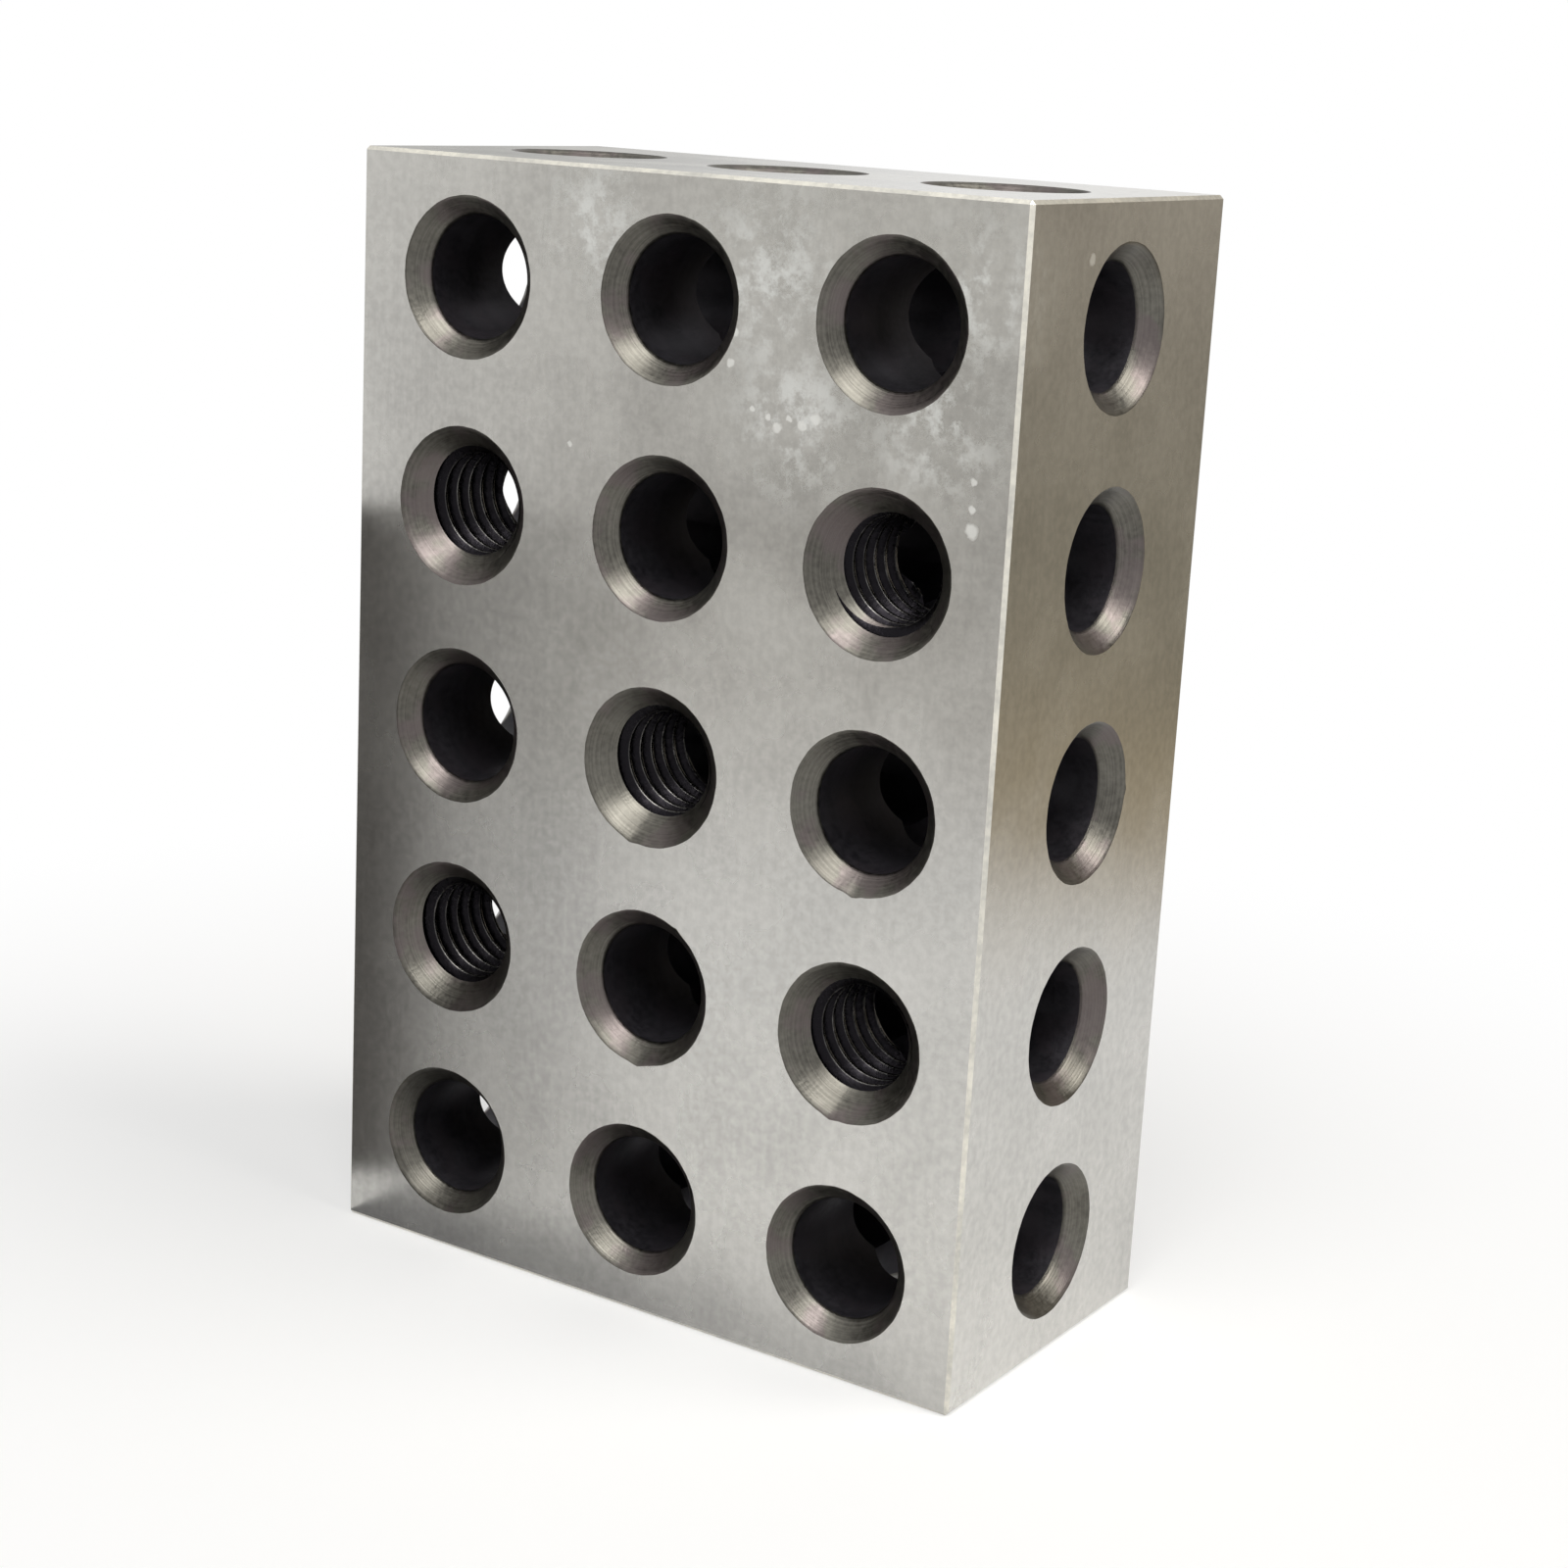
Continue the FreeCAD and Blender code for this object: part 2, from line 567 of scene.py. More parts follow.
@dataclass(frozen=True)
class CutSteel(Steel):
    """A turned or drilled round wall: dark from hardening, with the cutter's marks.

    Attributes:
        dark: The wall's darkest tone.
        colour: Its lightest tone.
        tint: The tone where the scale took a colour.
        rings: How many rings there are per millimetre.
        chatter: How many chatter marks there are in a turn.
        depth: How deep the marks look.
    """

    name: str
    dark: Colour
    colour: Colour
    tint: Colour
    roughness: float
    metallic: float
    rings: float
    chatter: float
    depth: float

    def build(self) -> bpy.types.Material:
        """Makes the material.

        Returns:
            The finished material.
        """
        material, graph, shader = self.start(self.name, self.metallic)
        mark = graph.add("ShaderNodeAttribute", attribute_name="turning").outputs["Vector"]
        marks = self.effects["rings"].lay(graph, {"Mark": mark, "Rings Per Millimetre": self.rings,
                                                  "Chatter Marks": self.chatter})
        grain, cloud = self.mottle(graph, grain_scale=2600.0, cloud_scale=300.0)
        tone = graph.weigh((grain, 0.35), (marks["Sector"], 0.35), (marks["Rings"], 0.30))
        base = graph.blend(tone, self.dark, self.colour)
        tinted = graph.math("MULTIPLY", graph.ramp(cloud, 0.4, 0.9), 0.6)
        base = graph.blend(tinted, base, self.tint)
        rough = graph.math("MULTIPLY_ADD", grain, 0.12, self.roughness - 0.06)
        relief = graph.weigh((marks["Rings"], 0.40), (grain, 0.30), (marks["Chatter"], 0.30))
        self.dress(graph, shader, base, rough, graph.bump(0.7, self.depth, relief))
        return material


@dataclass(frozen=True)
class ThreadSteel(Steel):
    """A tapped thread: black flanks and roots, with a painted highlight along the crests."""

    flank: Colour = (0.012, 0.011, 0.013)
    # The colour of the painted highlight along the crests.
    crest: Colour = (0.30, 0.29, 0.275)
    roughness: float = 0.30
    depth: float = 0.00002

    def build(self) -> bpy.types.Material:
        """Makes the material.

        Returns:
            The finished material.
        """
        material, graph, shader = self.start("tapped thread", 1.0)
        mark = graph.add("ShaderNodeAttribute", attribute_name="turning").outputs["Vector"]
        grain, cloud = self.mottle(graph, grain_scale=2600.0, cloud_scale=420.0)
        height = graph.parts(mark)[1]
        # Painted highlight: the crests take the lighter colour, in patches set by the clouds.
        worn = graph.ramp(cloud, 0.1, 0.9, 0.25, 1.0)
        painted_highlight = graph.math("MULTIPLY", graph.ramp(height, 0.80, 1.0), worn)
        base = graph.blend(painted_highlight, self.flank, self.crest)
        rough = graph.math("MULTIPLY_ADD", grain, 0.12, self.roughness - 0.06)
        self.dress(graph, shader, base, rough, graph.bump(0.5, self.depth, grain))
        return material


# ---------------------------------------------------------------------------
# Meshes
# ---------------------------------------------------------------------------


def new_object(name: str, data: bpy.types.ID) -> bpy.types.Object:
    """Makes an object and links it to the scene.

    Args:
        name: The object's name.
        data: Its mesh, lamp or camera.

    Returns:
        The new object.
    """
    made = bpy.data.objects.new(name, data)
    bpy.context.scene.collection.objects.link(made)
    return made


@dataclass(frozen=True)
class Station:
    """One ring of a revolved cutter.

    Attributes:
        along: Distance along the hole's axis from the block's middle.
        radius: The ring's radius.
        finish: What the wall from this ring to the next is dressed in.
        mark: The depth written to the wall's turning marks, in millimetres.
        give: How much of the hole's rim unevenness the ring takes.
    """

    along: float
    radius: float
    finish: Finish
    mark: float
    give: float = 0.0


@dataclass
class Skin:
    """Points, faces and what each face carries, gathered before they become a mesh."""

    points: list[Vector] = field(default_factory=list)
    faces: list[tuple[int, ...]] = field(default_factory=list)
    finishes: list[Finish] = field(default_factory=list)
    marks: list[Mark] = field(default_factory=list)

    def face(self, corners: tuple[int, ...], finish: Finish, marks: list[Mark]) -> None:
        """Adds a face.

        Args:
            corners: The numbers of its points.
            finish: What it is dressed in.
            marks: Each corner's turning mark.
        """
        self.faces.append(corners)
        self.finishes.append(finish)
        self.marks.extend(marks)

    def make(self, name: str, turn: Matrix, materials: list[bpy.types.Material]) -> bpy.types.Object:
        """Turns the skin into an object.

        Args:
            name: The object's name.
            turn: Moves the points to their place.
            materials: The block's materials, in the order of Finish.

        Returns:
            The new object, linked to the scene.
        """
        mesh = bpy.data.meshes.new(name)
        mesh.from_pydata([turn @ point for point in self.points], [], self.faces)
        for material in materials:
            mesh.materials.append(material)
        mesh.polygons.foreach_set("material_index", [int(finish) for finish in self.finishes])
        layer = mesh.attributes.new("turning", "FLOAT_VECTOR", "CORNER")
        layer.data.foreach_set("vector", [number for mark in self.marks for number in mark])
        return new_object(name, mesh)


@dataclass(frozen=True)
class Nick:
    """A small bite out of a hole's rim.

    Attributes:
        hole: The hole's name in the record.
        side: -1 for the mouth at the start of the axis, 1 for the other.
        clock: Where it is on the rim, in hours as seen from outside.
        width: Its width round the rim, in degrees.
        reach: How far it goes past the rim.
    """

    hole: str
    side: int
    clock: float
    width: float
    reach: float


@dataclass(frozen=True)
class Hole:
    """One through hole of the block, with a countersunk mouth at each end."""

    name: str
    kind: HoleKind
    centre: Vector
    axis: Vector
    radius: float
    wall: float
    span: float

    @property
    def sink(self) -> float:
        """How deep the countersink goes."""
        return (self.span - self.wall) / 2

    @property
    def rim(self) -> float:
        """The mouth's radius at the face; the countersink's cone has an angle of 90 degrees."""
        return self.radius + self.sink

    def basis(self) -> Matrix:
        """Gives the placement of the hole: local Z is its axis and local Y its twelve o'clock.

        Returns:
            A matrix from the hole's own frame to the block's.
        """
        up = Vector((0, 0, 1)) if abs(self.axis.z) < 0.5 else Vector((0, 1, 0))
        side = up.cross(self.axis)
        turn = Matrix((side, up, self.axis)).transposed()
        return Matrix.Translation(self.centre) @ turn.to_4x4()

    @classmethod
    def from_mount(cls, mount: dict, size: Vector) -> "Hole":
        """Reads a hole from one of the record's mounts.

        Args:
            mount: The mount, whose kind is a bore or a threaded hole.
            size: The block's width, thickness and length.

        Returns:
            The hole, with its axis made positive.
        """
        axis = Vector(tuple(abs(part) for part in mount["axis"]))
        dims = mount["dims"]
        return cls(mount["name"], HoleKind(mount["kind"]), Vector(mount["pos_m"]), axis,
                   dims["r_mm"] * MM, dims["length_mm"] * MM, size.dot(axis))


@dataclass
class Machining:
    """The cutters that leave the block's holes, with the marks of real tools.

    Attributes:
        nicks: The nicks in the rims.
        materials: The block's materials, in the order of Finish.
        segments: Sides of each round cutter.
        outside: How far a cutter stands out of the block.
        rim_break: Width of the small bevel round each mouth.
        rim_angle: Angle between that bevel and the hole's axis, in degrees.
        ring_pitch: Mean distance between the steps in a countersink.
        ring_depth: Depth of the deepest step.
        waver: How uneven a rim is.
        waves: How many times round the rim each part of the unevenness comes back.
        corner_round: Size of the rounding where a countersink meets the wall.
        lap: How far a tapped hole's countersink runs into its thread.
        pitch: The thread's pitch.
        thread_depth: From a thread's crest to its root.
        flank_angle: The angle between a flank and the thread's radius, in degrees.
        crest_round: The share of a flank that is rounded at the crest, along the axis and across it.
        thread_segments: Sides of a thread's turn.
    """

    nicks: tuple[Nick, ...]
    materials: list[bpy.types.Material]
    segments: int = 96
    outside: float = 0.3 * MM
    rim_break: float = 0.05 * MM
    rim_angle: float = 67.5
    ring_pitch: float = 0.22 * MM
    ring_depth: float = 0.007 * MM
    waver: float = 0.030 * MM
    waves: tuple[int, ...] = (4, 13, 29)
    corner_round: float = 0.06 * MM
    lap: float = 0.15 * MM
    pitch: float = 1.25 * MM
    thread_depth: float = 0.6 * MM
    flank_angle: float = 30.0
    crest_round: tuple[float, float] = (0.13, 0.05)
    thread_segments: int = 64

    def mouth(self, hole: Hole, side: int, draw: random.Random) -> list[Station]:
        """Lists the rings of one countersink, from outside the face down to the parallel wall.

        Args:
            hole: The hole.
            side: -1 for the mouth at the start of the axis, 1 for the other.
            draw: The hole's own random numbers.

        Returns:
            The rings, outermost first.
        """
        steep = math.tan(math.radians(self.rim_angle))
        face = hole.span / 2
        lip = self.rim_break / steep
        rings = [
            Station(side * (face + self.outside), hole.rim + self.rim_break / 2 + steep * self.outside,
                    Finish.TURNED, 0.0, 1.0),
            Station(side * (face - lip), hole.rim - lip, Finish.TURNED, 0.05, 0.8),
        ]
        steps = max(4, round(hole.sink / self.ring_pitch))
        for step in range(1, steps):
            share = (step + draw.uniform(-0.3, 0.3)) / steps
            sunk = lip + (hole.sink - lip) * share
            bite = draw.choice((-1.0, 1.0)) * draw.uniform(0.2, 1.0) * self.ring_depth
            rings.append(Station(side * (face - sunk), hole.rim - sunk + bite, Finish.TURNED,
                                 sunk * math.sqrt(2) / MM, 0.4 * (1 - share)))
        return rings

    def plain(self, hole: Hole, draw: random.Random) -> bpy.types.Object:
        """Makes the cutter of a drilled hole with both its countersinks.

        Args:
            hole: The hole.
            draw: The hole's own random numbers.

        Returns:
            The closed cutter.
        """
        soft = self.corner_round
        slant = hole.sink * math.sqrt(2) / MM
        start, end = (self.mouth(hole, side, draw) for side in (-1, 1))
        wall = hole.wall / 2
        rings = start + [
            Station(-wall - soft, hole.radius + soft, Finish.TURNED, slant, 0.1),
            Station(-wall + soft * 2, hole.radius, Finish.BORE, slant),
            Station(wall - soft * 2, hole.radius, Finish.TURNED, slant + 4.0),
            Station(wall + soft, hole.radius + soft, Finish.TURNED, slant, 0.1),
        ] + end[::-1]
        return self.revolve(hole, rings, draw)

    def sunk(self, hole: Hole, side: int, draw: random.Random) -> bpy.types.Object:
        """Makes the cutter of one countersink of a tapped hole, which ends inside the thread.

        Args:
            hole: The tapped hole.
            side: -1 for the mouth at the start of the axis, 1 for the other.
            draw: The hole's own random numbers.

        Returns:
            The closed cutter.
        """
        rings = self.mouth(hole, side, draw)
        end = hole.span / 2 - hole.sink - self.lap
        slant = hole.sink * math.sqrt(2) / MM
        rings.append(Station(side * end, hole.radius - self.lap, Finish.TURNED, slant))
        return self.revolve(hole, rings[::-side], draw)

    def revolve(self, hole: Hole, rings: list[Station], draw: random.Random) -> bpy.types.Object:
        """Turns a list of rings about a hole's axis into a closed cutter.

        Args:
            hole: The hole that the cutter makes.
            rings: The rings, from the axis's start to its end.
            draw: The hole's own random numbers.

        Returns:
            The cutter, in its place.
        """
        skin, count, own = Skin(), self.segments, draw.random()
        phases = [draw.uniform(0, math.tau) for _ in self.waves]
        for ring in rings:
            for step in range(count):
                angle = math.tau * step / count
                radius = ring.radius + ring.give * self.unevenness(hole, ring, angle, phases)
                skin.points.append(Vector((radius * math.sin(angle), radius * math.cos(angle), ring.along)))
        for row, (ring, following) in enumerate(zip(rings, rings[1:])):
            for step in range(count):
                here, beside = row * count + step, row * count + (step + 1) % count
                corners = (here, here + count, beside + count, beside)
                turns = (step, step, step + 1, step + 1)
                depths = (ring.mark, following.mark, following.mark, ring.mark)
                marks = [(turn / count, depth, own) for turn, depth in zip(turns, depths)]
                skin.face(corners, ring.finish, marks)
        last = (len(rings) - 1) * count
        flat = [(0.0, 0.0, own)] * count
        skin.face(tuple(range(count)), Finish.TURNED, flat)
        skin.face(tuple(last + step for step in reversed(range(count))), Finish.TURNED, flat)
        return skin.make("cutter_" + hole.name, hole.basis(), self.materials)

    def unevenness(self, hole: Hole, ring: Station, angle: float, phases: list[float]) -> float:
        """Says how far the rim strays outwards, with the nicks that are there.

        Args:
            hole: The hole.
            ring: The ring of its cutter.
            angle: Where on the ring, from twelve o'clock.
            phases: Where each wave of the unevenness begins.

        Returns:
            The distance outwards.
        """
        parts = [math.sin(angle * wave + phase) / len(phases) for wave, phase in zip(self.waves, phases)]
        stray = sum(parts) * self.waver
        for nick in self.nicks:
            if nick.hole == hole.name and nick.side * ring.along > 0:
                hours = nick.clock if nick.side > 0 else -nick.clock
                apart = math.degrees(abs((angle - hours / 12 * math.tau + math.pi) % math.tau - math.pi))
                stray += nick.reach * max(0.0, 1 - apart / nick.width)
        return stray

    def thread(self, hole: Hole, draw: random.Random) -> bpy.types.Object:
        """Makes the cutter of a tapped hole: a closed screw that runs right through the block.

        Each row of points follows the helix, so crests and roots are true edges. One
        turn of the grid ends on the row that is one pitch further on.

        Args:
            hole: The tapped hole.
            draw: The hole's own random numbers.

        Returns:
            The cutter, in its place.
        """
        crest, root = hole.radius, hole.radius + self.thread_depth
        flank = self.thread_depth * math.tan(math.radians(self.flank_angle))
        flat = self.pitch / 8
        soft, worn = flank * self.crest_round[0], self.thread_depth * self.crest_round[1]
        shape = ((0.0, crest, 1.0), (flat, crest, 1.0), (flat + soft, crest + worn, 0.9),
                 (flat + flank, root, 0.0), (self.pitch - flank, root, 0.0),
                 (self.pitch - soft, crest + worn, 0.9))
        count, rows_per_turn = self.thread_segments, len(shape)
        turns = math.ceil((hole.span + 4 * self.outside) / self.pitch) + 2
        rows = rows_per_turn * turns
        begin = -turns * self.pitch / 2 - self.pitch / 2 + draw.uniform(-0.4, 0.4) * self.pitch
        skin, own = Skin(), draw.random()
        for row in range(rows):
            offset, radius, _ = shape[row % rows_per_turn]
            for step in range(count):
                angle = math.tau * step / count
                along = begin + (row // rows_per_turn + step / count) * self.pitch + offset
                skin.points.append(Vector((radius * math.sin(angle), radius * math.cos(angle), along)))

        def point(row: int, step: int) -> int:
            """Gives the number of a point, where a whole turn leads to the row one pitch on."""
            whole, part = divmod(step, count)
            return (row + whole * rows_per_turn) * count + part

        for row in range(rows - 1):
            for step in range(count if row + 1 + rows_per_turn < rows else count - 1):
                square = ((0, 0), (1, 0), (1, 1), (0, 1))
                corners = tuple(point(row + up, step + on) for up, on in square)
                heights = [shape[(row + up) % rows_per_turn][2] for up, _ in square]
                marks = [((step + on) / count, height, own) for (_, on), height in zip(square, heights)]
                skin.face(corners, Finish.THREAD, marks)
        self.close_thread(skin, rows, rows_per_turn, own)
        return skin.make("tap_" + hole.name, hole.basis(), self.materials)

    def close_thread(self, skin: Skin, rows: int, rows_per_turn: int, own: float) -> None:
        """Closes both ends of the screw with fans to points on its axis.

        Args:
            skin: The screw's points and faces.
            rows: How many rows of points it has.
            rows_per_turn: How many of them one turn takes.
            own: The hole's own number, for its turning marks.
        """
        count = self.thread_segments
        lower = [step for step in range(count)] + [row * count for row in range(rows_per_turn, 0, -1)]
        last = rows - 1
        upper = [last * count + step for step in range(count)]
        upper += [row * count + count - 1 for row in range(last - 1, last - rows_per_turn - 1, -1)]
        for loop, outward in ((lower, False), (upper, True)):
            heights = [skin.points[index].z for index in loop]
            hub = len(skin.points)
            skin.points.append(Vector((0, 0, max(heights) if outward else min(heights))))
            for here, beside in zip(loop, loop[1:] + loop[:1]):
                corners = (hub, beside, here) if outward else (hub, here, beside)
                skin.face(corners, Finish.THREAD, [(0.0, 0.0, own)] * 3)


@dataclass
class SetupBlock:
    """The ground block: its bar, its holes and the finishes on it."""

    holes: list[Hole]
    machining: Machining
    edge_break: float = 0.25 * MM
    same_point: float = 0.0005 * MM
    smooth_angle: float = 35.0
    seed: int = 123

    def bar(self) -> bpy.types.Object:
        """Makes the bar with its broken edges, before any hole.

        Returns:
            The bar as an object.
        """
        low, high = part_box("block")
        shape = bmesh.new()
        size = Matrix.Diagonal((*(high - low), 1.0))
        bmesh.ops.create_cube(shape, size=1.0, matrix=Matrix.Translation((low + high) / 2) @ size)
        bmesh.ops.bevel(shape, geom=shape.edges[:], offset=self.edge_break, segments=1,
                        affect="EDGES", material=int(Finish.EDGE))
        mesh = bpy.data.meshes.new("setup_block")
        shape.to_mesh(mesh)
        shape.free()
        for material in self.machining.materials:
            mesh.materials.append(material)
        mesh.attributes.new("turning", "FLOAT_VECTOR", "CORNER")
        return new_object("setup_block", mesh)

    def cutters(self) -> list[bpy.types.Object]:
        """Makes every cutter.

        Returns:
            The cutters, in the order in which they cut.
        """
        made = []
        for number, hole in enumerate(self.holes):
            draw = random.Random(self.seed + number)
            if hole.kind is HoleKind.TAPPED:
                made.append(self.machining.thread(hole, draw))
                made += [self.machining.sunk(hole, side, draw) for side in (-1, 1)]
            else:
                made.append(self.machining.plain(hole, draw))
        return made

    def build(self) -> bpy.types.Object:
        """Cuts the holes, shades the walls and puts the block in the CAD node's place.

        Returns:
            The finished block.
        """
        block = self.bar()
        cutters = self.cutters()
        for cutter in cutters:
            cut = block.modifiers.new(cutter.name, "BOOLEAN")
            cut.operation, cut.solver, cut.material_mode = "DIFFERENCE", "MANIFOLD", "INDEX"
            cut.object = cutter
        shown = block.evaluated_get(bpy.context.evaluated_depsgraph_get())
        solid = bpy.data.meshes.new_from_object(shown)
        block.modifiers.clear()
        block.data = solid
        for cutter in cutters:
            bpy.data.meshes.remove(cutter.data)
        self.clean(solid)
        self.shade(solid)
        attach(block, "root")
        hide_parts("block")
        return block

    def clean(self, mesh: bpy.types.Mesh) -> None:
        """Joins points that the cuts left on top of each other.

        Args:
            mesh: The block's mesh.
        """
        shape = bmesh.new()
        shape.from_mesh(mesh)
        bmesh.ops.remove_doubles(shape, verts=shape.verts[:], dist=self.same_point)
        bmesh.ops.dissolve_degenerate(shape, edges=shape.edges[:], dist=self.same_point)
        shape.to_mesh(mesh)
        shape.free()

    def shade(self, mesh: bpy.types.Mesh) -> None:
        """Smooths the round walls and leaves the ground faces and bevels flat.

        Args:
            mesh: The block's mesh.
        """
        flat = (Finish.GROUND, Finish.EDGE)
        mesh.set_sharp_from_angle(angle=math.radians(self.smooth_angle))
        mesh.polygons.foreach_set("use_smooth", [face.material_index not in flat for face in mesh.polygons])


# ---------------------------------------------------------------------------
# Studio
# ---------------------------------------------------------------------------


@dataclass(frozen=True)
class SoftBox:
    """One soft overhead lamp that looks at the block.

    Attributes:
        way: The direction from the block to the lamp.
        colour: The light's colour.
        distance: How far off it hangs.
        size: How wide it is.
        power: How strong it is.
    """

    name: str
    way: Vector
    colour: Colour
    distance: float = 0.65
    size: float = 0.42
    power: float = 2.8

    def build(self, target: Vector) -> None:
        """Hangs the lamp and turns it to the target.

        Args:
            target: The point that the lamp looks at.
        """
        lamp = bpy.data.lights.new(self.name, "AREA")
        lamp.shape = "DISK"
        lamp.size = self.size
        lamp.energy = self.power
        lamp.color = self.colour
        made = new_object(self.name, lamp)
        made.location = target + self.way * self.distance
        made.rotation_mode = "QUATERNION"
        made.rotation_quaternion = (-self.way).to_track_quat("-Z", "Y")


@dataclass(frozen=True)
class Card:
    """A studio card that shows in the block's polish and nowhere else."""

    name: str

    def stand(self, corners: list[Vector], faces: list[tuple[int, ...]]) -> Graph:
        """Makes the card and starts its material.

        Args:
            corners: The card's points.
            faces: The card's faces.

        Returns:
            The graph of the card's material.
        """
        mesh = bpy.data.meshes.new(self.name)
        mesh.from_pydata(corners, [], faces)
        material, graph = blank_material(self.name)
        mesh.materials.append(material)
        made = new_object(self.name, mesh)
        for rays in ("camera", "diffuse", "transmission", "shadow"):
            setattr(made, "visible_" + rays, False)
        return graph

    def paint(self, graph: Graph, colour: Value, cover: Value) -> None:
        """Gives the card its glow where it covers, and leaves the rest clear.

        Args:
            graph: The graph of the card's material.
            colour: What the card looks like.
            cover: 1 where it covers, 0 where it is clear.
        """
        glow = graph.add("ShaderNodeEmission", {"Color": graph.opaque(colour), "Strength": 1.0})
        clear = graph.add("ShaderNodeBsdfTransparent")
        both = graph.add("ShaderNodeMixShader", {0: cover, 1: clear.outputs[0], 2: glow.outputs[0]})
        graph.add("ShaderNodeOutputMaterial", {"Surface": both.outputs[0]})


@dataclass(frozen=True)
class RoomSide(Card):
    """The darker table and wall beyond the white sheet, on one side of the block.

    Attributes:
        heading: The direction from the block to the middle of this side.
        edge: How close to the heading the side begins and is full, as cosines.
        near: Where the white sheet ends.
        middle: Where the table has its near colour.
        far: Where the table has its far colour.
        near_colour: What the sheet's end looks like.
        far_colour: What the table looks like.
        wall_colour: What the wall and the table's end look like.
        wall: How far off the wall is.
        wall_height: How high the wall goes.
        lift: How far the table lies over the floor.
    """

    heading: Vector
    edge: tuple[float, float]
    near: float
    middle: float
    far: float
    near_colour: Colour
    far_colour: Colour
    wall_colour: Colour
    wall: float = 1.2
    wall_height: float = 1.1
    lift: float = 0.0005

    def build(self, centre: Vector, ground: float) -> None:
        """Lays the table and stands the wall at its end.

        Args:
            centre: The block's middle.
            ground: The height that the block stands on.
        """
        middle = Vector((centre.x, centre.y, ground + self.lift))
        across = Vector((-self.heading.y, self.heading.x, 0.0)) * self.wall * 2
        end = self.heading * self.wall
        up = Vector((0.0, 0.0, self.wall_height))
        corners = [middle - across, middle + across, middle + across + end, middle - across + end,
                   middle + across + end + up, middle - across + end + up]
        graph = self.stand(corners, [(0, 1, 2, 3), (3, 2, 4, 5)])
        offset = graph.vector("SUBTRACT", graph.place(), tuple(middle))
        away = graph.number("LENGTH", offset)
        toward = graph.number("DOT_PRODUCT", graph.vector("NORMALIZE", offset), tuple(self.heading))
        cover = graph.math("MULTIPLY", graph.ramp(toward, *self.edge),
                           graph.ramp(away, self.near, self.middle))
        colour = graph.blend(graph.ramp(away, self.middle, self.far), self.near_colour, self.far_colour)
        colour = graph.blend(graph.ramp(away, self.far, self.wall), colour, self.wall_colour)
        self.paint(graph, colour, cover)


@dataclass(frozen=True)
class Neighbour(Card):
    """The end of the second block of the pair and the shade round it, which the polish of this one shows.

    Attributes:
        start: Where the shade begins, on the ground.
        end: The end's lower corner close to this block.
        height: The second block's height as it lies on its side.
        colour: The colour of the end.
    """

    start: Vector
    end: Vector
    height: float
    colour: Colour

    def build(self) -> None:
        """Stands the card up where the other block's end is."""
        up = Vector((0, 0, self.height))
        graph = self.stand([self.start, self.end, self.end + up, self.start + up], [(0, 1, 2, 3)])
        share = graph.share(self.start, self.end - self.start)
        shade = graph.ramp(share, 0.0, 0.62, 0.0, 0.5)
        self.paint(graph, self.colour, graph.math("ADD", shade, graph.ramp(share, 0.54, 0.83, 0.0, 0.48)))


@dataclass(frozen=True)
class FootShade(Card):
    """The shade on the ground along the block's foot, which grows towards the second block.

    Attributes:
        corner: The end of the foot that is close to the second block.
        along: From there to the foot's other end.
        out: From the foot to where the shade ends.
        colour: The shaded ground's colour.
        strong: How much of it there is at the corner.
        weak: How much of it there is at the other end.
        lift: How far it lies over the floor.
    """

    corner: Vector
    along: Vector
    out: Vector
    colour: Colour
    strong: float
    weak: float
    lift: float = 0.0002

    def build(self) -> None:
        """Lays the shade on the ground."""
        low = self.corner + Vector((0.0, 0.0, self.lift))
        far = low + self.along
        graph = self.stand([low, far, far + self.out, low + self.out], [(0, 1, 2, 3)])
        along = graph.ramp(graph.share(low, self.along), 0.0, 1.0, self.strong, self.weak)
        out = graph.ramp(graph.share(low, self.out), 0.0, 1.0, 1.0, 0.0)
        self.paint(graph, self.colour, graph.math("MULTIPLY", along, out))


